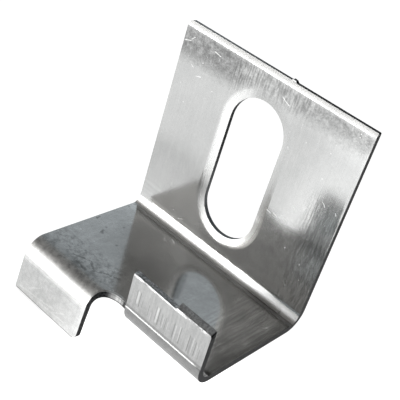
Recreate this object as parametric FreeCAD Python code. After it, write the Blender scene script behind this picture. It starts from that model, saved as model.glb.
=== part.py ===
import FreeCAD, Part
import math
import os

from FreeCAD import Vector

# Curtain wall bracket, folded from one stainless sheet. Lengths are in millimetres, angles in degrees.
# +X runs along the folds, +Y points into the wall and +Z points up.
# The origin is the centre of the bolt slot, on the face that lies against the wall.

# Sheet and overall sizes
sheet = 1.5
width = 50.0
height = 49.2

# Folds. Each is pressed hard, so the sheet is thinner there and its two sides have sizes of their own.
# Two of the faces are parts of an ellipse: one size is how far it runs over the shelf, the other how
# far it runs over the wall plate or the lip.
back_inner_run = 1.6
back_inner_rise = 3.2
back_outer_radius = 4.5
hook_inner_radius = 3.0
hook_outer_radius = 4.8
lip_inner_radius = 3.0
lip_outer_run = 4.0
lip_outer_drop = 4.7

# The hook is folded up and the lip is folded down. Each stands open a little past square. The shears
# left the hook's end higher at the back than at the front.
hook_reach = 34.8
hook_width = 20.6
hook_height = 13.7
hook_opening = 2.0
hook_end_slope = 0.7
lip_past_hook = 0.2
lip_width = 20.0
lip_drop = 12.6
lip_opening = 6.1

# How far the notch between hook and lip goes in behind their fronts. On the lip's side its round end
# begins this far behind the lip's lower end.
notch_depth = 4.3
lip_end_clearance = 0.05

# Bolt slot in the wall plate
bolt_slot_width = 14.3
bolt_slot_length = 34.2
bolt_slot_side_shift = -0.6
bolt_slot_above_underside = 25.0

# Rounding that punch and shear leave on the front of a cut edge: its reach over the face and its depth
slot_roll_reach = 2.2
slot_roll_depth = 0.42
top_roll_reach = 1.15
top_roll_depth = 0.65
side_roll_reach = 0.95
side_roll_depth = 0.2

# Corner radii of the blank
plate_corner_radius = 0.9
lip_corner_radius = 1.1
small_corner_radius = 0.5

# Pressed field on the hook's front. It stops at a sloping ledge above the fold.
field_depth = 0.16
field_height = 8.7
ledge_height = 0.2

# The shear cut the top of the wall plate in two strokes, which leaves a step and a burr
stroke_step = 0.15
burr_place = 28.9
burr_length = 1.5
burr_rise = 0.45

# The hook's end was cut in two strokes as well. The one beside the notch slopes down to a step.
hook_stroke_width = 11.6
hook_stroke_step = 0.35

# Places that follow from the sizes above
left = -width / 2 - bolt_slot_side_shift
right = left + width
underside = -bolt_slot_above_underside
shelf_top = underside + sheet
plate_top = underside + height
plate_front = -sheet
lip_reach = hook_reach + lip_past_hook
notch_left = left + lip_width
notch_right = right - hook_width
notch_middle = (notch_left + notch_right) / 2

# How far a cutter runs past the metal
overrun = 1.0

UP = Vector(0, 0, 1)
FRONT = Vector(0, -1, 0)
ALONG = Vector(1, 0, 0)


def tilted(opening, upwards):
    """Direction in which a tab stands when it is open by this angle."""
    angle = math.radians(opening)
    rise = math.cos(angle) if upwards else -math.cos(angle)
    return Vector(0, -math.sin(angle), rise)


def circle_corner(corner, leg_a, leg_b, radius):
    """Arc of this radius that rounds a corner between two directions."""
    half = leg_a.getAngle(leg_b) / 2
    along = radius / math.tan(half)
    middle = (leg_a + leg_b).normalize() * (radius / math.sin(half) - radius)
    start, end = corner + leg_a * along, corner + leg_b * along
    return start, end, Part.Arc(start, corner + middle, end).toShape()


def ellipse_corner(corner, leg_a, leg_b, reach_a, reach_b):
    """Part of an ellipse that rounds a corner and reaches this far along each direction."""
    start, end = corner + leg_a * reach_a, corner + leg_b * reach_b
    weight = math.sin(leg_a.getAngle(leg_b) / 2)
    curve = Part.BSplineCurve()
    curve.buildFromPolesMultsKnots([start, corner, end], [3, 3], [0, 1], False, 2, [1, weight, 1])
    return start, end, curve.toShape()


def rounded_section(corners, roundings):
    """Closed wire through the corners. Each is sharp, or has a radius, or has two reaches."""
    count = len(corners)
    arrive, leave, edges = list(corners), list(corners), []
    arcs = [None] * count
    for i, (corner, rounding) in enumerate(zip(corners, roundings)):
        leg_a = (corners[i - 1] - corner).normalize()
        leg_b = (corners[(i + 1) % count] - corner).normalize()
        if len(rounding) == 1:
            arrive[i], leave[i], arcs[i] = circle_corner(corner, leg_a, leg_b, *rounding)
        if len(rounding) == 2:
            arrive[i], leave[i], arcs[i] = ellipse_corner(corner, leg_a, leg_b, *rounding)
    for i in range(count):
        if arcs[i]:
            edges.append(arcs[i])
        edges.append(Part.LineSegment(leave[i], arrive[(i + 1) % count]).toShape())
    return Part.Wire(edges)


def crossing(point_a, direction_a, point_b, direction_b):
    """Point in the YZ plane where two lines cross."""
    gap = point_b - point_a
    turn = direction_a.y * direction_b.z - direction_a.z * direction_b.y
    along = (gap.y * direction_b.z - gap.z * direction_b.y) / turn
    return point_a + direction_a * along


def tab_corners(x, reach, length, opening, upwards, end_slope):
    """Outer corner, outer end, inner end and inner corner of the hook or the lip."""
    direction = tilted(opening, upwards)
    rise = 1 if upwards else -1
    thickness = Vector(0, math.cos(math.radians(opening)), rise * math.sin(math.radians(opening))) * sheet
    outer_face, inner_face = (underside, shelf_top) if upwards else (shelf_top, underside)
    outer = Vector(x, -reach, outer_face)
    inner = crossing(Vector(x, 0, inner_face), FRONT, outer + thickness, direction)
    outer_end = outer + direction * length
    return outer, outer_end, outer_end + thickness + direction * end_slope, inner


def hook_corners(x):
    return tab_corners(x, hook_reach, hook_height, hook_opening, True, hook_end_slope)


def lip_corners(x):
    return tab_corners(x, lip_reach, lip_drop, lip_opening, False, 0)


def hook_half():
    """Wall plate, shelf and hook, from the middle of the notch to the right edge."""
    x = notch_middle
    outer, outer_end, inner_end, inner = hook_corners(x)
    corners = [Vector(x, 0, plate_top), Vector(x, 0, underside), outer, outer_end, inner_end, inner,
               Vector(x, plate_front, shelf_top), Vector(x, plate_front, plate_top)]
    roundings = [(), (back_outer_radius,), (hook_outer_radius,), (), (), (hook_inner_radius,),
                 (back_inner_run, back_inner_rise), ()]
    return Part.Face(rounded_section(corners, roundings)).extrude(ALONG * (right - x))


def lip_half():
    """Wall plate, shelf and lip, from the left edge to the middle of the notch."""
    x = left
    outer, outer_end, inner_end, inner = lip_corners(x)
    corners = [Vector(x, 0, plate_top), Vector(x, 0, underside), inner, inner_end, outer_end, outer,
               Vector(x, plate_front, shelf_top), Vector(x, plate_front, plate_top)]
    roundings = [(), (back_outer_radius,), (lip_inner_radius,), (), (), (lip_outer_drop, lip_outer_run),
                 (back_inner_run, back_inner_rise), ()]
    return Part.Face(rounded_section(corners, roundings)).extrude(ALONG * (notch_middle - x))


def quarter_ellipse(side, tip):
    """Quarter of an ellipse in plan, from a side of the notch to the tip of its round end."""
    centre = Vector(tip.x, side.y, side.z)
    swapped = centre.distanceToPoint(side) < centre.distanceToPoint(tip)
    first, second = (tip, side) if swapped else (side, tip)
    return Part.ArcOfEllipse(Part.Ellipse(first, second, centre), 0, math.pi / 2).toShape()


def notch_cutter():
    """Upright prism with a round end, which parts hook and lip."""
    z = underside - lip_drop - overrun
    open_end = -max(hook_reach, lip_reach) - hook_height
    tip = Vector(notch_middle, notch_depth - min(hook_reach, lip_reach), z)
    lip_side = Vector(notch_left, lip_corners(notch_left)[2].y + lip_end_clearance, z)
    hook_side = Vector(notch_right, sheet - hook_reach, z)
    lip_mouth = Vector(notch_left, open_end, z)
    hook_mouth = Vector(notch_right, open_end, z)
    edges = [quarter_ellipse(lip_side, tip), quarter_ellipse(hook_side, tip)]
    for start, end in ((hook_side, hook_mouth), (hook_mouth, lip_mouth), (lip_mouth, lip_side)):
        edges.append(Part.LineSegment(start, end).toShape())
    outline = Part.Wire(Part.sortEdges(edges)[0])
    return Part.Face(outline).extrude(UP * (lip_drop + hook_height + 2 * overrun))


def slot_wire(y):
    """Outline of the bolt slot at this depth, starting at the middle of its left side."""
    r = bolt_slot_width / 2
    z = bolt_slot_length / 2 - r
    edges = [Part.LineSegment(Vector(-r, y, 0), Vector(-r, y, z)).toShape()]
    edges.append(Part.Arc(Vector(-r, y, z), Vector(0, y, z + r), Vector(r, y, z)).toShape())
    edges.append(Part.LineSegment(Vector(r, y, z), Vector(r, y, -z)).toShape())
    edges.append(Part.Arc(Vector(r, y, -z), Vector(0, y, -z - r), Vector(-r, y, -z)).toShape())
    edges.append(Part.LineSegment(Vector(-r, y, -z), Vector(-r, y, 0)).toShape())
    return Part.Wire(edges)


def roll_profile(edge, inward, outward, reach, depth):
    """Section that is cut away where a sheared edge is rolled over. It turns soon and then slopes."""
    face_end = edge + inward * reach
    turn = edge + inward * reach * 0.8
    edge_end = edge - outward * depth
    curve = Part.BezierCurve()
    curve.setPoles([face_end, turn, edge_end])
    outer_edge = edge_end - inward * overrun
    outer_face = outer_edge + outward * (depth + overrun)
    above = face_end + outward * overrun
    sides = [curve.toShape()]
    for a, b in ((edge_end, outer_edge), (outer_edge, outer_face), (outer_face, above), (above, face_end)):
        sides.append(Part.LineSegment(a, b).toShape())
    return Part.Wire(Part.sortEdges(sides)[0])


def slot_roll():
    """Rolled rim around the front of the bolt slot."""
    edge = Vector(-bolt_slot_width / 2, plate_front, 0)
    profile = roll_profile(edge, -ALONG, FRONT, slot_roll_reach, slot_roll_depth)
    return slot_wire(plate_front).makePipeShell([profile], True, True)


def top_roll():
    """Rolled edge along the top of the wall plate."""
    edge = Vector(left - overrun, plate_front, plate_top)
    profile = roll_profile(edge, -UP, FRONT, top_roll_reach, top_roll_depth)
    return Part.Face(profile).extrude(ALONG * (width + 2 * overrun))


def side_roll():
    """Rolled right edge of the wall plate, which runs out at the fold below."""
    edge = Vector(right, plate_front, plate_top)
    profile = roll_profile(edge, -ALONG, FRONT, side_roll_reach, side_roll_depth)
    down = Vector(side_roll_reach, 0, shelf_top + back_inner_rise - plate_top)
    return Part.Face(profile).extrude(down)


def lip_roll():
    """Rolled edge of the lip beside the notch, which runs out in the fold above."""
    outer, outer_end, inner_end = lip_corners(notch_left)[:3]
    outward = (outer_end - inner_end).normalize()
    direction = tilted(lip_opening, False)
    profile = roll_profile(outer_end + direction * overrun, -ALONG, outward, side_roll_reach, side_roll_depth)
    return Part.Face(profile).extrude((outer - outer_end) - direction * overrun)


def stroke_cutter():
    """Thin slice off the top of the wall plate, right of the place where the two strokes meet."""
    start = left + burr_place
    corner = Vector(start, -sheet - overrun, plate_top - stroke_step)
    return Part.makeBox(right - start + overrun, sheet + 2 * overrun, stroke_step + overrun, corner)


def burr():
    """Small torn ridge on the top edge where the two strokes meet."""
    x = left + burr_place
    z = plate_top - stroke_step
    corners = [Vector(x - burr_length / 2, 0, z), Vector(x - burr_length / 4, 0, z + burr_rise),
               Vector(x + burr_length / 4, 0, z + burr_rise * 0.8), Vector(x + burr_length / 2, 0, z)]
    face = Part.Face(Part.makePolygon(corners + corners[:1]))
    return face.extrude(FRONT * (sheet - top_roll_depth))


def hook_stroke_cutter():
    """Wedge off the hook's end, from nothing beside the notch down to the step."""
    end, inner_end = hook_corners(notch_right)[1:3]
    behind = inner_end.y + overrun
    step = notch_right + hook_stroke_width
    corners = [Vector(notch_right - overrun, behind, end.z), Vector(notch_right, behind, end.z),
               Vector(step, behind, end.z - hook_stroke_step), Vector(step, behind, end.z + overrun),
               Vector(notch_right - overrun, behind, end.z + overrun)]
    face = Part.Face(Part.makePolygon(corners + corners[:1]))
    return face.extrude(FRONT * (behind - end.y + overrun))


def field_cutter():
    """Shallow slab that presses the field into the hook's front face."""
    outer, outer_end, inner_end = hook_corners(notch_right - overrun)[:3]
    direction = tilted(hook_opening, True)
    into = (inner_end - outer_end).normalize()
    low = outer + direction * (hook_height - field_height)
    ledge = low + direction * ledge_height + into * field_depth
    high = outer_end + direction * overrun
    corners = [low - into * overrun, low, ledge, high + into * field_depth, high - into * overrun]
    face = Part.Face(Part.makePolygon(corners + corners[:1]))
    return face.extrude(ALONG * (hook_width + 2 * overrun))


def nearest_edge(shape, point, across):
    """The short edge through the sheet's thickness that lies nearest to a point."""
    def far(edge):
        return edge.CenterOfMass.distanceToPoint(point)
    through = [e for e in shape.Edges if sheet - 0.01 < e.Length < sheet + hook_end_slope and
               abs(e.tangentAt(e.FirstParameter).dot(across)) > 0.8]
    return min(through, key=far)


def round_corners(shape):
    """Round the corners of the blank on the wall plate, the lip and the hook."""
    wall = Vector(0, 1, 0)
    corners = [(Vector(left, 0, plate_top), plate_corner_radius),
               (Vector(right, 0, plate_top), small_corner_radius),
               (lip_corners(left)[1], small_corner_radius),
               (lip_corners(notch_left)[1], lip_corner_radius),
               (hook_corners(notch_right)[1], small_corner_radius),
               (hook_corners(right)[1], small_corner_radius)]
    for place, radius in corners:
        shape = shape.makeFillet(radius, [nearest_edge(shape, place, wall)])
    return shape


def bracket():
    """The whole folded sheet."""
    shape = hook_half().fuse(lip_half()).removeSplitter()
    shape = shape.cut(notch_cutter())
    shape = round_corners(shape)
    shape = shape.cut(Part.Face(slot_wire(-sheet - overrun)).extrude(Vector(0, sheet + 2 * overrun, 0)))
    shape = shape.cut(slot_roll())
    shape = shape.cut(top_roll())
    shape = shape.cut(side_roll())
    shape = shape.cut(lip_roll())
    shape = shape.cut(field_cutter())
    shape = shape.cut(hook_stroke_cutter())
    shape = shape.cut(stroke_cutter())
    shape = shape.fuse(burr()).removeSplitter()
    return shape.Solids[0]


os.makedirs("parts", exist_ok=True)
bracket().exportStep("parts/bracket.step")
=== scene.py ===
import functools
import math
import typing

import bpy
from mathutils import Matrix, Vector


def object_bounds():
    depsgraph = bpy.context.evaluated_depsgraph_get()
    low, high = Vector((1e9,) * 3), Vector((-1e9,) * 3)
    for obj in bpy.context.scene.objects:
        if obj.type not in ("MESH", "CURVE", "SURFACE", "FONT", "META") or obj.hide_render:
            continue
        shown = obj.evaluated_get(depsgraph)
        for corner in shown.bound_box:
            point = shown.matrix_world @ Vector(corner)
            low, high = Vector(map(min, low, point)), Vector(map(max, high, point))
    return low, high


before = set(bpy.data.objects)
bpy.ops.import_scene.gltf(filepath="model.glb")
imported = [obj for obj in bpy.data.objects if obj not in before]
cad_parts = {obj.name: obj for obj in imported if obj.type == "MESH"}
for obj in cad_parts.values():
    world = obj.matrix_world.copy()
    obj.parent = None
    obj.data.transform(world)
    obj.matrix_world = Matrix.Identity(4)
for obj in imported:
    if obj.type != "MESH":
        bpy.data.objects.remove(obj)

CAD_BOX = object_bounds()
MM = 0.001
BLACK = (0, 0, 0, 1)
WHITE = (1, 1, 1, 1)

# The camera stands where the photograph was taken from, in millimetres, and is rolled with it
CAMERA_PLACE = (83.65, -142.7, 88.9)
CAMERA_TURN = (57.63, -15.33, 42.40)
CAMERA_LENS = 77.87
SENSOR_WIDTH = 36.0
CLIP_START = 0.01
CLIP_END = 10.0

# In a range, two numbers are where a mask starts and where it is full, and the first may be the
# larger one. Four numbers also say where it starts to fall and where it ends.

# The studio: how bright each part of the surround is, where 1 is white paper. RISE is in degrees
# over the horizon, and SIDE in degrees to the right of straight in front of the bracket.
FLOOR_GAP = 0.0002
FLOOR_RADIUS = 1.6
FLOOR_CORNERS = 96
FLOOR_COLOUR = (0.5, 0.5, 0.5, 1)
FLOOR_GLOW = 0.8
# The pool is a painted pool of light: extra glow on the floor in front on the right.
PAINTED_POOL_GLOW = 0.6
PAINTED_POOL_SIDE = (-25, -8, 45, 70)
BOX_LEVEL = 10.0
BOX_RISE = (-2, 1, 12, 18)
BOX_SIDE = (-100, -60, 0, 50)
CEILING_LEVEL = 0.16
SHOULDER_LEVEL = 0.7
SHOULDER_RISE = (10.0, 14.0, 30.5, 32.8)
SHOULDER_SIDE = (-29.5, -34.5)
BACK_WALL_LEVEL = 0.285
BACK_WALL_TINT = (0.93, 1.0, 1.04, 1)
BACK_WALL_REACH = (-0.2, 0.5)
FRONT_TINT = (1.05, 1.0, 0.94, 1)

# Which way a face leans: ranges of its normal's share along one axis
FORWARD = (-0.4, -0.8)
ROLLED_FORWARD = (-0.15, -0.3)
UPWARD = (0.1, 0.4)
STEEP = (0.5, 0.2)
LEDGE_UPWARD = (0.2, 0.5)
CUT_UPWARD = (0.6, 0.85)
EDGE_UPWARD = (0.7, 0.9)
FLAT_UPWARD = (0.8, 0.9)
DOWNWARD = (-0.55, -0.8)
SIDEWAYS = (0.5, 0.8)
NOTCH_SIDEWAYS = (0.2, 0.7)
ACROSS = (0.6, 0.3)
BENT = (0.995, 0.96)

# Where the faces are: ranges in millimetres along the bracket's own axes
PLATE = {"y": (-2.3, -1.9), "z": (-21.5, -20.5)}
SHELF = {"z": (-21.0, -22.5)}
BACK_FOLD_Y = (-3.6, -3.2)
BACK_FOLD_Z = (-24.0, -23.6, -21.0, -20.5)
TOP_ROLL = {"z": (23.0, 23.4, 24.3, 24.5)}
LIP_FRONT = {"x": (-3.0, -4.0), "z": (-26.5, -28.0)}
HOOK_FRONT = {"x": (4.0, 4.5), "y": (-33.8, -34.3), "z": (-20.1, -19.8)}
# The hook's foot, ledge and underside, and the inner corner of its fold, carry painted shade
HOOK_FOOT = {"x": (4.6, 5.0), "y": (-32.6, -33.2), "z": (-19.7, -19.95)}
HOOK_LEDGE = {"x": (4.6, 5.0), "y": (-32.6, -33.2), "z": (-20.4, -20.2, -20.0, -19.85)}
HOOK_UNDERSIDE = {"x": (4.6, 5.0), "y": (-30.0, -32.0)}
HOOK_FOLD_CORNER = {"x": (23.5, 24.8), "y": (-29.5, -30.5), "z": (-18.5, -19.5)}
HOOK_END = {"y": (-32.0, -33.0), "z": (-13.0, -12.0)}
NOTCH_X = (-4.8, -4.6, 5.0, 5.2)
NOTCH = {"y": (-29.9, -30.4), "z": (-18.0, -19.0)}
NOTCH_WALL = {"x": (-4.4, -3.6, 5.0, 5.2), "y": (-30.2, -30.5), "z": (-23.2, -23.5)}
SHEARED_PLATE_Z = (-19.0, -18.0)
SHEARED_TAB_Y = (-33.0, -33.6)
SHEARED_HOOK_Z = (-20.0, -19.0)
SHEARED_LIP_Z = (-26.5, -27.5)

# The rolled edge of the slot, painted lighter as a highlight, and the shiny rim of the notch
SLOT_HALF_WIDTH = 7.15
SLOT_HALF_STRAIGHT = 9.95
RING_WIDTH = (-0.2, 0.1, 1.6, 2.5)
RING_LEFT = {"x": (-1.0, -5.0), "z": (-9.0, -4.0)}
NOTCH_MIDDLE = 0.3
NOTCH_HALF_WIDTH = 4.6
NOTCH_TIP = -30.5
NOTCH_LIP_SIDE = -34.8
NOTCH_HOOK_SIDE = -33.3
NOTCH_STEP = 0.1
# How far the rim goes from the middle, as a multiple of the notch itself
RIM_REACH = (1.16, 1.0)

# The mottled band under the plate's top edge, darkened as painted shade: its uneven lower side,
# and how dark it is
BAND_LOW = 15.0
BAND_RISE = 2.4
BAND_RISE_X = (-9.0, -2.0)
BAND_UNEVEN = 7.0
BAND_FADE = (-0.6, 3.6)
BAND_TOP = (23.6, 22.3)
BAND_SWING = (0.5, 1.3)
# How deep the band's painted shade is, and how that changes to the left and right
BAND_SHADE = 0.52
BAND_SHADE_LEFT = -0.18
BAND_SHADE_LEFT_X = (-9.0, -3.0)
BAND_SHADE_RIGHT = 0.1
BAND_SHADE_RIGHT_X = (3.0, 10.0)
# The plate's dark zone on the right, where the rolling marks show
STREAKED = {"x": (15.5, 20.5), "z": (8.0, 3.0)}

# The plainer parts of the sheet's tone, where 1 is the metal's full colour
BASE_TONE = 0.77
GRAIN_TONE = 0.12
CLOUD_TONE = 0.22
PLATE_TONE = 0.07
PLATE_FADE = 0.3
PLATE_FADE_X = (10.0, -16.0)

# Textures: blobs in a millimetre, detail, roughness and stretch
TEXTURES = {
    "grain": (4.0, 2.0, 0.6, (1.0, 0.02, 0.02)),
    "lines": (1.9, 1.0, 0.5, (1.0, 0.05, 0.05)),
    "stripes": (3.0, 0.0, 0.5, (1.0, 0.05, 0.12)),
    "cloud": (0.10, 3.0, 0.6),
    "mottle": (0.7, 5.0, 0.7),
    "fine": (2.4, 3.0, 0.7),
    "along_fold": (1.3, 2.0, 0.5, (0.05, 1.0, 1.0)),
}
# The hook's own texture, drawn out upwards by the press
DRAG = (1.6, 3.0, 0.6, (1.0, 1.0, 0.12))


class Patch(typing.NamedTuple):
    """A place on a mask, in millimetres, and an amount there.

    A texture makes the patch uneven. Its values are first cut to the contrast, if there is one,
    and then go from the first number of the swing to the second.
    """

    mask: str
    amount: float
    x: tuple = ()
    y: tuple = ()
    z: tuple = ()
    texture: str = ""
    contrast: tuple = ()
    swing: tuple = (-0.5, 0.5)


# Contrasts that many patches share
SOFT = (0.3, 0.7)
CRISP = (0.35, 0.65)

# Patches that are darker by their amount, or lighter where it is below 0
PLATE_PATCHES = [
    Patch("shaded_band", 0.4, x=(-11.0, -8.0, 9.0, 13.0), texture="stripes", contrast=CRISP),
    Patch("shaded_band", 0.9, texture="fine"),
    Patch("plate", 0.2, texture="fine"),
    Patch("plate", 0.12, x=(5.0, 12.0), z=(-6.0, 0.0, 15.0, 20.0)),
    # Painted highlight on the slot's rolled edge: lighter on its left and low on its right
    Patch("highlight_ring_left", -0.3),
    Patch("ring", -0.25, x=(3.0, 6.0), z=(-4.0, -8.0)),
    Patch("plate", -0.2, x=(-6.0, 2.0), z=(-6.0, -9.0)),
    Patch("plate", -0.2, x=(-17.0, -12.0, -8.0, -2.0), z=(-9.0, -13.0)),
    Patch("plate", 0.17, x=(-4.0, -12.0), z=(-22.0, -12.0, -7.0, 0.0)),
    Patch("streaked", 0.14, texture="lines", contrast=SOFT),
    Patch("streaked", 0.7, texture="fine"),
    Patch("streaked", 0.34, texture="stripes", contrast=CRISP),
    Patch("plate", 0.12, x=(15.0, 20.0), z=(-18.0, -13.0, -5.0, 0.0)),
    Patch("plate", 0.22, x=(8.0, 12.0), z=(0.0, -6.0), texture="mottle", contrast=SOFT),
    Patch("plate", 0.13, z=(-15.0, -18.0), texture="along_fold", contrast=SOFT),
]
SHELF_PATCHES = [
    Patch("shelf", 0.1),
    Patch("shelf", 0.15, x=(-22.0, -15.0, -2.0, 2.0), y=(-24.0, -18.0, -7.0, -5.0)),
    Patch("shelf_streak", 0.3),
    Patch("shelf", -0.14, y=(-6.0, -4.8, -3.4, -2.6)),
    Patch("shelf", 0.14, y=(-4.0, -6.0), texture="mottle", contrast=SOFT),
    Patch("shelf", 0.26, x=(-2.0, -4.0), y=(-35.0, -33.8, -31.0, -29.0),
          texture="mottle", contrast=SOFT, swing=(0.7, 1.3)),
    Patch("shelf", 0.36, x=(-1.0, -6.0), y=(-34.5, -32.0, -26.5, -22.0),
          texture="mottle", contrast=(0.42, 0.70), swing=(0.0, 1.0)),
    Patch("shelf", 0.35, texture="fine"),
    Patch("shelf", 0.3, x=(11.0, 16.0), y=(-3.5, -5.0), texture="lines", contrast=CRISP),
    Patch("shelf", 0.3, x=(23.0, 25.2), y=(-3.0, -4.0)),
]
FOLD_PATCHES = [
    Patch("notch_wall", 0.5, texture="lines", contrast=SOFT, swing=(0.5, 1.1)),
    Patch("notch_wall", 0.85, z=(-24.65, -24.9)),
    Patch("notch_wall", 0.4, z=(-24.0, -23.85, -23.75, -23.6)),
    # Painted shade: the back fold darker towards its right end, where the hook stands in front of
    # it
    Patch("shaded_back_fold", 0.42, x=(9.0, 16.0, 20.0, 23.0)),
    Patch("shaded_back_fold", 0.22, x=(20.0, 23.0)),
]
TAB_PATCHES = [
    Patch("hook_front", 0.47),
    Patch("lip_front", 0.12),
    # Painted shade: the hook's foot and underside darkened as if they mirrored a shaded floor, and
    # its ledge darkened to narrow its highlight
    Patch("shaded_hook_foot", 0.7, texture="mottle", swing=(0.85, 1.15)),
    Patch("shaded_hook_ledge", 0.9),
    Patch("shaded_hook_underside", 0.6),
    # Painted shade in the crease at the right end of the hook's fold
    Patch("shaded_hook_fold_corner", 0.75),
    # Painted shade: a dark line in the inner corner just above the ledge
    Patch("hook_front", 0.3, z=(-19.8, -19.6, -19.3, -18.9)),
    Patch("hook_front", 0.1, z=(-15.0, -18.5)),
    Patch("hook_front", 0.4, texture="fine"),
    Patch("hook_front", 0.16, texture="drag", contrast=SOFT),
    Patch("lip_front", 0.2, texture="mottle", contrast=SOFT),
    # Painted shade: the lip darker along its bottom edge
    Patch("lip_front", 0.4, z=(-35.6, -35.95)),
]

# Scratches: start, end and half width. On the wall plate and the lip they are x and z, and on the
# shelf x and y. The streak is a broad one.
PLATE_SCRATCHES = [
    (-24.2, 19.6, -22.4, 20.2, 0.10), (-22.3, 20.6, -21.7, 21.3, 0.10),
    (-15.6, 20.9, -13.7, 20.6, 0.13), (-18.4, 13.6, -17.2, 14.0, 0.12),
    (-20.6, 15.4, -19.9, 15.0, 0.10), (3.6, 20.2, 5.6, 19.4, 0.12), (8.6, 11.3, 8.9, 10.9, 0.13),
    (9.1, -4.0, 10.3, -4.3, 0.11), (10.8, -3.7, 11.9, -4.1, 0.11), (14.7, 0.4, 15.3, 0.0, 0.12),
    (20.5, 5.2, 21.4, 4.4, 0.10), (24.0, 4.6, 24.3, 4.2, 0.09), (19.4, -17.0, 19.8, -17.3, 0.12),
    (20.9, -10.6, 21.1, -10.9, 0.10), (-11.8, -20.4, -10.7, -19.9, 0.12),
    (7.4, -7.6, 7.9, -8.3, 0.12),
]
SHELF_SCRATCHES = [
    (-15.8, -29.7, -12.2, -27.9, 0.35), (-12.2, -27.9, -9.3, -29.6, 0.35),
    (-9.3, -29.6, -6.6, -27.4, 0.30), (-6.6, -27.4, -4.0, -26.6, 0.25),
    (-19.2, -17.9, -18.8, -18.9, 0.50), (-23.9, -15.0, -23.6, -16.2, 0.40),
    (-13.6, -30.6, -10.6, -31.0, 0.45), (21.4, -2.4, 21.7, -2.7, 0.25),
]
LIP_SCRATCHES = [
    (-23.5, -35.1, -12.0, -33.6, 0.30), (-20.6, -34.0, -17.0, -31.4, 0.25),
    (-17.9, -28.2, -16.2, -28.0, 0.20), (-19.9, -33.6, -19.2, -32.9, 0.20),
    (-12.5, -34.6, -9.0, -32.6, 0.25), (-16.5, -35.0, -8.5, -34.4, 0.25),
]
SHELF_STREAK = (1.6, -12.5, 5.6, -19.5, 1.3)
# How far a texture pushes a scratch off its line
SHELF_WANDER = (2.0, 1.6)
UPRIGHT_WANDER = (0.5, 0.5)
SHELF_SCRATCH_DARK = 0.45
PLATE_SCRATCH_LIGHT = 0.6
LIP_SCRATCH_LIGHT = 0.16

# Specks: cells in a millimetre, the spot's size in its cell, the share of cells and the stretch
SHELF_STAINS = (0.5, 0.22, 0.25)
SHELF_STAIN_DARK = 0.35
LIGHT_SPECKS = [
    (Patch("plate", 0.55), (0.5, 0.1, 0.35)),
    (Patch("streaked", 0.35), (1.1, 0.2, 0.3)),
    (Patch("shelf", 0.25, y=(-4.0, -6.0)), (0.4, 0.12, 0.25)),
    (Patch("plate_and_lip", 0.3), (0.9, 0.12, 0.12, (1.0, 1.0, 0.4))),
]
SPECK_STEP = 0.02

# The burr that the shears left along the hook's end: where it is, and how uneven
# Its bump is relief, and the bright line along it is a painted highlight.
BURR_Y = (-33.0, -33.5)
BURR_Z = (-12.1, -11.6, -10.5, -10.3)
BURR_UNEVEN = 0.5
BURR_HIGHLIGHT_CONTRAST = (0.36, 0.6)

# Marks of the press on the hook: x, top, bottom, half width and how much lighter they are
PRESS_MARKS = [
    (7.40, -14.3, -17.3, 0.30, 0.35), (7.95, -14.2, -17.8, 0.12, -0.40),
    (7.05, -14.2, -17.5, 0.10, -0.30), (8.75, -15.6, -17.4, 0.10, -0.22),
    (10.55, -15.4, -18.0, 0.12, -0.20), (11.30, -16.6, -18.4, 0.12, 0.22),
    (12.80, -14.3, -18.0, 0.28, 0.35), (13.25, -14.2, -18.1, 0.10, -0.40),
    (12.40, -14.2, -17.6, 0.09, -0.25), (14.05, -14.8, -17.4, 0.11, -0.30),
    (14.50, -15.4, -18.0, 0.12, 0.25), (15.15, -14.9, -17.9, 0.11, -0.30),
    (15.70, -15.6, -17.7, 0.10, 0.22), (17.30, -14.6, -18.0, 0.13, -0.30),
    (17.75, -15.0, -18.2, 0.12, 0.22), (18.75, -14.3, -18.0, 0.12, 0.28),
    (19.05, -14.4, -18.4, 0.10, -0.38), (21.30, -14.5, -18.5, 0.14, -0.35),
    (21.80, -14.6, -18.6, 0.30, -0.18), (22.30, -14.5, -18.4, 0.12, 0.25),
    (23.00, -14.8, -18.3, 0.12, -0.34), (23.45, -15.2, -18.0, 0.10, 0.24),
    (24.10, -15.8, -18.2, 0.10, -0.18),
]
PRESS_STRENGTH = 1.15
PRESS_RAGGED = 0.8
# How far a mark's end fades, outwards and inwards
PRESS_ENDS = (0.3, 0.2)

# The share of a mark's half width that shows it in full
PRESS_CORE = 0.4
SCRATCH_CORE = 0.2
SPECK_CORE = 0.4

# Colours of the metal, of its light marks and painted highlight, and of the torn faces
METAL_DARK = (0.779, 0.788, 0.786, 1)
METAL_LIGHT = (0.818, 0.823, 0.816, 1)
MARK_AND_HIGHLIGHT_COLOUR = (0.95, 0.955, 0.95, 1)
TORN_COLOUR = (0.97, 1.0, 1.03, 1)
TORN_TINT = (0.72, 0.72, 0.72, 1)

# How light the torn faces are, from 0 to 1
TORN_CONTRAST = (0.35, 0.75)
TORN_LIGHT = 0.04
TORN_END_CONTRAST = 0.3
# Painted light on the torn faces: on the hook's end and more on its right, low in the slot and on
# the top edge
TORN_END_PAINTED_LIGHT = 0.1
TORN_END_RIGHT_PAINTED_LIGHT = 0.15
TORN_END_RIGHT_X = (15.5, 16.5)
TORN_SLOT_PAINTED_LIGHT = 0.1
TORN_SLOT_REACH = (0.8, 0.4)
TORN_SLOT_Y = (-2.2, -1.8)
TORN_SLOT_Z = (4.0, -16.0)
TORN_TOP_PAINTED_LIGHT = 0.2
TORN_TOP_X = (12.0, -20.0)
TORN_TOP_Z = (24.0, 24.3)

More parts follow.
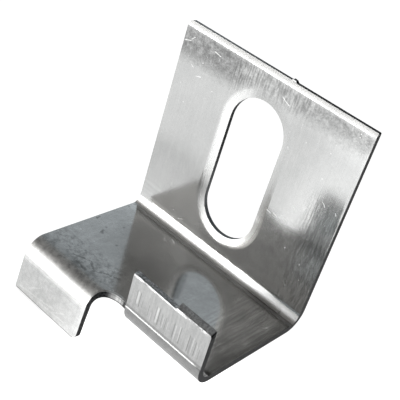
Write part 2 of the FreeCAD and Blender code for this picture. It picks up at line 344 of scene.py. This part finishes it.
# Roughness, and how much of a soft sheen goes over the sharp one, by place
ROUGHNESS = 0.12
ROUGHNESS_PATCHES = [
    Patch("plate", 0.03), Patch("folded", 0.29), Patch("shaded_band", 0.1), Patch("sheared", 0.3),
    Patch("marks_and_highlight", 0.3),
]
ROUGHNESS_GRAIN = 0.05
ROUGHNESS_CLOUD = 0.06
LEAST_ROUGHNESS = 0.05
SOFT_ROUGHNESS = 0.55
HAZE = 0.008
HAZE_PATCHES = [
    Patch("upright", 0.10),
    Patch("folded", 0.02),
    Patch("plate", 0.09, x=(6.0, -10.0), z=(-5.0, -12.0)),
    Patch("highlight_ring_left", 0.16),
    Patch("top_roll", 0.7),
    Patch("lip_front", 0.6, z=(-29.0, -27.4)),
]

# Relief in millimetres
GRAIN_RELIEF = 0.0028
CLOUD_RELIEF = 0.02
BURR_RELIEF = 0.1
RIM_RELIEF = 0.16


class Tree:
    """A node tree that is filled by short calls."""

    def __init__(self, owner):
        owner.use_nodes = True
        self.tree = owner.node_tree
        self.tree.nodes.clear()

    def plug(self, socket, value):
        """Links a field or a socket, or sets a plain value."""
        if isinstance(value, Field):
            value = value.socket
        if isinstance(value, bpy.types.NodeSocket):
            self.tree.links.new(value, socket)
        else:
            socket.default_value = value

    def node(self, kind, settings=(), inputs=()):
        made = self.tree.nodes.new(kind)
        for name, value in dict(settings).items():
            setattr(made, name, value)
        for name, value in dict(inputs).items():
            self.plug(made.inputs[name], value)
        return made

    def split(self, socket):
        """The three numbers of a vector."""
        parts = self.node("ShaderNodeSeparateXYZ", inputs={0: socket})
        return [Field(self, out) for out in parts.outputs]

    def stretched(self, place, stretch):
        """The place as a vector, with each axis times its stretch."""
        x, y, z = [part * amount for part, amount in zip(place, stretch)]
        return self.node("ShaderNodeCombineXYZ", inputs={0: x, 1: y, 2: z}).outputs[0]

    def noise(self, place, scale, detail, roughness, stretch=(1, 1, 1)):
        """Noise from 0 to 1 with about `scale` blobs in a millimetre."""
        made = self.node("ShaderNodeTexNoise", inputs={
            "Vector": self.stretched(place, stretch), "Scale": scale, "Detail": detail,
            "Roughness": roughness})
        return Field(self, made.outputs["Fac"])

    def specks(self, place, scale, size, share, stretch=(1, 1, 1)):
        """Small spots in a share of the cells of a cellular pattern."""
        made = self.node("ShaderNodeTexVoronoi", inputs={
            "Vector": self.stretched(place, stretch), "Scale": scale})
        pick = self.split(made.outputs["Color"])[0]
        spot = Field(self, made.outputs["Distance"]).ramp(size, size * SPECK_CORE)
        return spot * pick.ramp(share + SPECK_STEP, share)

    def mix(self, amount, first, second):
        """Colour that goes from first to second as the amount goes from 0 to 1."""
        made = self.node("ShaderNodeMix", {"data_type": "RGBA"}, {0: amount, 6: first, 7: second})
        return made.outputs[2]


class Field:
    """A number that varies over a surface or the sky, with the arithmetic to shape it."""

    def __init__(self, tree, socket):
        self.tree = tree
        self.socket = socket

    def _math(self, operation, *others):
        made = self.tree.node("ShaderNodeMath", {"operation": operation})
        for place, value in enumerate((self,) + others):
            self.tree.plug(made.inputs[place], value)
        return Field(self.tree, made.outputs[0])

    def __add__(self, other):
        return self._math("ADD", other)

    def __sub__(self, other):
        return self._math("SUBTRACT", other)

    def __mul__(self, other):
        return self._math("MULTIPLY", other)

    def __truediv__(self, other):
        return self._math("DIVIDE", other)

    def __abs__(self):
        return self._math("ABSOLUTE")

    def flip(self):
        """One minus the number."""
        return self * -1.0 + 1.0

    def dim(self, amount):
        """1 where this mask is 0, and darker by the amount where it is 1."""
        return self * -1.0 * amount + 1.0

    def even(self):
        """The number, moved from around a half to around 0."""
        return self - 0.5

    def most(self, other):
        return self._math("MAXIMUM", other)

    def least(self, other):
        return self._math("MINIMUM", other)

    def root(self):
        return self._math("SQRT")

    def degrees(self, operation, *others):
        """The angle in degrees that an inverse function such as ARCSINE gives."""
        return self._math(operation, *others) * (180 / math.pi)

    def ramp(self, low, high, first=0.0, last=1.0):
        """First up to low and last past high, smooth between; low may be the larger one."""
        made = self.tree.node("ShaderNodeMapRange", {"interpolation_type": "SMOOTHSTEP"},
                              {0: self, 1: low, 2: high, 3: first, 4: last})
        return Field(self.tree, made.outputs[0])

    def window(self, low, rise, fall, high):
        """1 between rise and fall, and 0 below low and above high."""
        return self.ramp(low, rise) * self.ramp(high, fall)

    def swung(self, contrast, swing):
        """From one end of the swing to the other, as the number rises within the contrast."""
        if contrast:
            return self.ramp(*contrast, *swing)
        low, high = swing
        return self * (high - low) + low


def add_camera():
    data = bpy.data.cameras.new("camera")
    data.lens = CAMERA_LENS
    data.sensor_width = SENSOR_WIDTH
    data.clip_start = CLIP_START
    data.clip_end = CLIP_END
    camera = bpy.data.objects.new("camera", data)
    camera.location = [v * MM for v in CAMERA_PLACE]
    camera.rotation_euler = [math.radians(v) for v in CAMERA_TURN]
    bpy.context.scene.collection.objects.link(camera)
    bpy.context.scene.camera = camera


def side_of(x, y):
    """Degrees to the right of straight in front of the bracket."""
    return x.degrees("ARCTAN2", y * -1.0)


def add_studio():
    """A long soft box low in front, a dim ceiling and a cool wall behind."""
    world = bpy.data.worlds.new("studio")
    bpy.context.scene.world = world
    tree = Tree(world)
    x, y, z = tree.split(tree.node("ShaderNodeTexCoord").outputs["Generated"])
    rise = z.degrees("ARCSINE")
    side = side_of(x, y)
    box = rise.window(*BOX_RISE) * side.window(*BOX_SIDE)
    shoulder = rise.window(*SHOULDER_RISE) * side.ramp(*SHOULDER_SIDE)
    behind = y.ramp(*BACK_WALL_REACH)
    level = box * BOX_LEVEL + shoulder * SHOULDER_LEVEL + behind * BACK_WALL_LEVEL + CEILING_LEVEL
    tint = tree.mix(behind, FRONT_TINT, BACK_WALL_TINT)
    tint = tree.mix(box, tint, WHITE)
    shade = tree.node("ShaderNodeBackground", inputs={"Color": tint, "Strength": level})
    tree.node("ShaderNodeOutputWorld", inputs={"Surface": shade.outputs[0]})


def add_floor():
    """White paper that glows evenly, with a painted pool of light where it glows brighter in front
    on the right.
    """
    height = CAD_BOX[0].z - FLOOR_GAP
    turns = [i * math.tau / FLOOR_CORNERS for i in range(FLOOR_CORNERS)]
    ring = [(FLOOR_RADIUS * math.cos(turn), FLOOR_RADIUS * math.sin(turn), height)
            for turn in turns]
    mesh = bpy.data.meshes.new("floor")
    mesh.from_pydata(ring, [], [list(range(FLOOR_CORNERS))])
    floor = bpy.data.objects.new("floor", mesh)
    bpy.context.scene.collection.objects.link(floor)
    material = bpy.data.materials.new("floor")
    tree = Tree(material)
    x, y, _ = tree.split(tree.node("ShaderNodeTexCoord").outputs["Object"])
    # A painted pool of light: the floor glows brighter in front on the right.
    painted_light_pool = side_of(x, y).window(*PAINTED_POOL_SIDE)
    matt = tree.node("ShaderNodeBsdfDiffuse", inputs={"Color": FLOOR_COLOUR})
    glow = tree.node("ShaderNodeEmission", inputs={"Strength": painted_light_pool * PAINTED_POOL_GLOW + FLOOR_GLOW})
    both = tree.node("ShaderNodeAddShader", inputs={0: matt.outputs[0], 1: glow.outputs[0]})
    tree.node("ShaderNodeOutputMaterial", inputs={"Surface": both.outputs[0]})
    mesh.materials.append(material)


def scratch(u, v, ends):
    """1 along a line between two points, soft at its sides."""
    u0, v0, u1, v1, half_width = ends
    du, dv = u1 - u0, v1 - v0
    along = ((u - u0) * du + (v - v0) * dv) * (1 / (du * du + dv * dv))
    along = along.most(0.0).least(1.0)
    gap_u = u - u0 - along * du
    gap_v = v - v0 - along * dv
    gap = (gap_u * gap_u + gap_v * gap_v).root()
    return gap.ramp(half_width, half_width * SCRATCH_CORE)


def scratches(u, v, places):
    return functools.reduce(Field.most, (scratch(u, v, ends) for ends in places))


def press_mark(x, z, middle, top, bottom, half_width, light):
    """An upright stroke, as strong as it is light."""
    outwards, inwards = PRESS_ENDS
    stroke = abs(x - middle).ramp(half_width, half_width * PRESS_CORE)
    ends = z.window(bottom - outwards, bottom + inwards, top - inwards, top + inwards)
    return stroke * ends * light


class Metal:
    """The look of the stainless sheet, made step by step from masks, textures and marks."""

    def __init__(self, tree):
        self.tree = tree
        metre = tree.split(tree.node("ShaderNodeTexCoord").outputs["Object"])
        self.place = [part * (1 / MM) for part in metre]
        self.normal = tree.split(tree.node("ShaderNodeNewGeometry").outputs["Normal"])
        self.masks = {}
        self.textures = {}

    def inside(self, mask, x=(), y=(), z=()):
        """The mask, kept only where the point is in the ranges."""
        for part, ends in zip(self.place, (x, y, z)):
            if len(ends) == 2:
                mask = mask * part.ramp(*ends)
            elif ends:
                mask = mask * part.window(*ends)
        return mask

    def cover(self, patch):
        """The mask of a patch, as uneven as its texture makes it."""
        mask = self.inside(self.masks[patch.mask], patch.x, patch.y, patch.z)
        if patch.texture:
            mask = mask * self.textures[patch.texture].swung(patch.contrast, patch.swing)
        return mask

    def darken(self, mask, amount):
        self.tone = self.tone * mask.dim(amount)

    def darken_all(self, patches):
        for patch in patches:
            self.darken(self.cover(patch), patch.amount)

    def total(self, start, patches):
        """The start, plus the amount of each patch where it is."""
        for patch in patches:
            start = self.cover(patch) * patch.amount + start
        return start

    def find_sheared(self):
        """The faces that the shears and punches cut, where the metal is torn and dark."""
        nx, ny, nz = self.normal
        x, y, z = self.place
        tabs = y.ramp(*SHEARED_TAB_Y) * (z.ramp(*SHEARED_HOOK_Z) + z.ramp(*SHEARED_LIP_Z))
        across = abs(ny).ramp(*ACROSS) * (z.ramp(*SHEARED_PLATE_Z) + tabs)
        notch = self.inside(x.window(*NOTCH_X), **NOTCH)
        side = abs(nx).ramp(*SIDEWAYS) * notch.flip()
        notch_side = nx.ramp(*NOTCH_SIDEWAYS) * notch
        hook_end = self.inside(nz.ramp(*CUT_UPWARD), **HOOK_END)
        self.masks["sheared"] = side.most(across).most(notch_side).most(hook_end).least(1.0)
        self.masks["hook_end"] = hook_end

    def find_faces(self):
        _, ny, nz = self.normal
        _, y, z = self.place
        masks = self.masks
        forward = ny.ramp(*FORWARD)
        self.find_sheared()
        masks["plate"] = self.inside(forward, **PLATE)
        masks["shelf"] = self.inside(nz.ramp(*UPWARD), **SHELF)
        masks["hook_front"] = self.inside(forward, **HOOK_FRONT)
        masks["shaded_hook_foot"] = self.inside(nz.ramp(*STEEP), **HOOK_FOOT)
        masks["lip_front"] = self.inside(forward, **LIP_FRONT)
        masks["shaded_back_fold"] = y.ramp(*BACK_FOLD_Y) * z.window(*BACK_FOLD_Z)
        # The slot's rolled edge, where a highlight is painted lighter
        masks["ring"] = masks["plate"] * self.from_slot().window(*RING_WIDTH)
        masks["highlight_ring_left"] = self.inside(masks["ring"], **RING_LEFT)
        masks["top_roll"] = self.inside(ny.ramp(*ROLLED_FORWARD), **TOP_ROLL)
        flat = abs(ny).most(abs(nz))
        masks["folded"] = flat.ramp(*BENT) * masks["sheared"].flip()

    def from_slot(self):
        """Millimetres from the slot's edge."""
        x, _, z = self.place
        past_end = (abs(z) - SLOT_HALF_STRAIGHT).most(0.0)
        return (x * x + past_end * past_end).root() - SLOT_HALF_WIDTH

    def add_textures(self):
        for name, values in TEXTURES.items():
            self.textures[name] = self.tree.noise(self.place, *values)

    def shade_plate(self):
        x, _, z = self.place
        masks, textures = self.masks, self.textures
        plate = masks["plate"]
        self.tone = textures["grain"].even() * GRAIN_TONE + BASE_TONE
        self.tone = self.tone * (textures["cloud"].even() * CLOUD_TONE + 1.0)
        low = x.ramp(*BAND_RISE_X) * BAND_RISE + textures["mottle"].even() * BAND_UNEVEN + BAND_LOW
        shaded_band = plate * (z - low).ramp(*BAND_FADE) * z.ramp(*BAND_TOP)
        dark = x.ramp(*BAND_SHADE_LEFT_X, 0.0, BAND_SHADE_LEFT)
        dark = dark + x.ramp(*BAND_SHADE_RIGHT_X, 0.0, BAND_SHADE_RIGHT) + BAND_SHADE
        # Painted shade: the band is darkened as a dimmer reflection would darken it; the mottling
        # in it is the sheet's own texture.
        self.darken(shaded_band * textures["mottle"].ramp(*SOFT, *BAND_SWING), dark)
        masks["shaded_band"] = shaded_band
        self.darken(plate * (x.ramp(*PLATE_FADE_X) * PLATE_FADE + 1.0), PLATE_TONE)
        masks["streaked"] = self.inside(plate, **STREAKED)
        self.darken_all(PLATE_PATCHES)

    def shade_shelf(self):
        x, y, _ = self.place
        masks, textures = self.masks, self.textures
        shelf = masks["shelf"]
        masks["shelf_streak"] = shelf * scratch(x, y, SHELF_STREAK)
        self.darken_all(SHELF_PATCHES)
        aside, ahead = SHELF_WANDER
        u = x + textures["mottle"].even() * aside
        v = y + textures["fine"].even() * ahead
        self.darken(shelf * scratches(u, v, SHELF_SCRATCHES), SHELF_SCRATCH_DARK)
        self.darken(shelf * self.tree.specks(self.place, *SHELF_STAINS), SHELF_STAIN_DARK)

    def shade_folds(self):
        nz = self.normal[2]
        self.masks["notch_wall"] = self.inside(nz.ramp(*STEEP), **NOTCH_WALL)
        self.darken_all(FOLD_PATCHES)

    def shade_tabs(self):
        """The hook and the lip, with what the press left on the hook."""
        nz = self.normal[2]
        masks, textures = self.masks, self.textures
        masks["shaded_hook_ledge"] = self.inside(nz.ramp(*LEDGE_UPWARD), **HOOK_LEDGE)
        masks["shaded_hook_underside"] = self.inside(nz.ramp(*DOWNWARD), **HOOK_UNDERSIDE)
        masks["shaded_hook_fold_corner"] = self.inside(nz.ramp(*UPWARD), **HOOK_FOLD_CORNER)
        textures["drag"] = self.tree.noise(self.place, *DRAG)
        self.darken_all(TAB_PATCHES)
        x, _, z = self.place
        ragged = z + textures["fine"].even() * PRESS_RAGGED
        marks = (press_mark(x, ragged, *mark) for mark in PRESS_MARKS)
        pressed = functools.reduce(Field.__add__, marks)
        self.darken(masks["hook_front"] * pressed, -PRESS_STRENGTH)

    def add_marks_and_highlight(self):
        """Scuffs, specks and a painted highlight along the burr on the hook's end."""
        x, _, z = self.place
        masks, textures = self.masks, self.textures
        masks["plate_and_lip"] = masks["plate"] + masks["lip_front"]
        aside, upward = UPRIGHT_WANDER
        u = x + textures["fine"].even() * aside
        v = z + textures["mottle"].even() * upward
        light = masks["plate"] * scratches(u, v, PLATE_SCRATCHES) * PLATE_SCRATCH_LIGHT
        for patch, pattern in LIGHT_SPECKS:
            specks = self.cover(patch) * self.tree.specks(self.place, *pattern) * patch.amount
            light = light.most(specks)
        burr = (z + textures["fine"].even() * BURR_UNEVEN).ramp(*BURR_Z[:2])
        # Painted highlight: a bright line along the burr on the hook's end
        light = light.most(masks["hook_front"] * burr * textures["mottle"].ramp(*BURR_HIGHLIGHT_CONTRAST))
        lip = masks["lip_front"] * scratches(u, v, LIP_SCRATCHES) * LIP_SCRATCH_LIGHT
        masks["marks_and_highlight"] = light.most(lip)

    def torn_colour(self):
        """Nearly black, with painted light that makes it lighter on the hook's end, low in the
        slot and on the top edge.
        """
        x, y, z = self.place
        nz = self.normal[2]
        end = self.masks["hook_end"]
        light = self.textures["fine"].ramp(*TORN_CONTRAST) * (end * TORN_END_CONTRAST + TORN_LIGHT)
        light = light + end * (x.ramp(*TORN_END_RIGHT_X) * TORN_END_RIGHT_PAINTED_LIGHT + TORN_END_PAINTED_LIGHT)
        slot = self.from_slot().ramp(*TORN_SLOT_REACH) * y.ramp(*TORN_SLOT_Y)
        light = light + slot * z.ramp(*TORN_SLOT_Z) * TORN_SLOT_PAINTED_LIGHT
        top = z.ramp(*TORN_TOP_Z) * nz.ramp(*EDGE_UPWARD)
        light = light + top * x.ramp(*TORN_TOP_X) * TORN_TOP_PAINTED_LIGHT
        return self.tree.mix(light, BLACK, TORN_COLOUR)

    def colour(self):
        mix = self.tree.mix
        metal = mix(self.textures["cloud"], METAL_DARK, METAL_LIGHT)
        colour = mix(self.tone, BLACK, metal)
        colour = mix(self.masks["marks_and_highlight"], colour, MARK_AND_HIGHLIGHT_COLOUR)
        return mix(self.masks["sheared"], colour, self.torn_colour())

    def roughness(self):
        roughness = self.total(self.textures["grain"].even() * ROUGHNESS_GRAIN + ROUGHNESS,
                               ROUGHNESS_PATCHES)
        roughness = roughness + self.textures["cloud"].even() * ROUGHNESS_CLOUD
        return roughness.most(LEAST_ROUGHNESS)

    def relief(self):
        """Rolling grain, a slight waviness, the burr on the hook's end and the notch's rim.

        The bump node copies what its height is made from three times over, so this stays small.
        """
        x, y, z = self.place
        nz = self.normal[2]
        hook_half = x.ramp(NOTCH_MIDDLE - NOTCH_STEP, NOTCH_MIDDLE + NOTCH_STEP)
        edge = hook_half * (NOTCH_HOOK_SIDE - NOTCH_LIP_SIDE) + NOTCH_LIP_SIDE
        u = (x - NOTCH_MIDDLE) / NOTCH_HALF_WIDTH
        v = (y - edge).most(0.0) / (edge * -1.0 + NOTCH_TIP)
        rim = nz.ramp(*FLAT_UPWARD) * (u * u + v * v).root().ramp(*RIM_REACH)
        burr = z.window(*BURR_Z) * y.ramp(*BURR_Y)
        height = self.textures["grain"] * GRAIN_RELIEF + self.textures["cloud"] * CLOUD_RELIEF
        height = height - burr * BURR_RELIEF - rim * RIM_RELIEF
        bump = self.tree.node("ShaderNodeBump", inputs={
            "Strength": 1.0, "Distance": MM, "Height": height})
        return bump.outputs[0]

    def finish(self):
        """A sharp sheen with a soft one over it where the metal is hazy."""
        colour = self.colour()
        roughness = self.roughness()
        relief = self.relief()
        masks = self.masks
        sharp = self.tree.node("ShaderNodeBsdfPrincipled", inputs={
            "Metallic": 1.0, "Base Color": colour, "Roughness": roughness, "Normal": relief,
            "Specular Tint": self.tree.mix(masks["sheared"], WHITE, TORN_TINT)})
        soft = self.tree.node("ShaderNodeBsdfPrincipled", inputs={
            "Metallic": 1.0, "Base Color": colour, "Roughness": SOFT_ROUGHNESS, "Normal": relief})
        masks["upright"] = (masks["plate"] + masks["hook_front"] + masks["lip_front"]).least(1.0)
        haze = self.total(HAZE, HAZE_PATCHES) * masks["sheared"].flip()
        both = self.tree.node("ShaderNodeMixShader", inputs={
            0: haze, 1: sharp.outputs[0], 2: soft.outputs[0]})
        self.tree.node("ShaderNodeOutputMaterial", inputs={"Surface": both.outputs[0]})


def stainless():
    material = bpy.data.materials.new("stainless_sheet")
    metal = Metal(Tree(material))
    metal.find_faces()
    metal.add_textures()
    metal.shade_plate()
    metal.shade_shelf()
    metal.shade_folds()
    metal.shade_tabs()
    metal.add_marks_and_highlight()
    metal.finish()
    return material


add_camera()
add_studio()
add_floor()
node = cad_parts["bracket"]
node.data.materials.clear()
node.data.materials.append(stainless())
bpy.context.scene.view_settings.view_transform = "Standard"
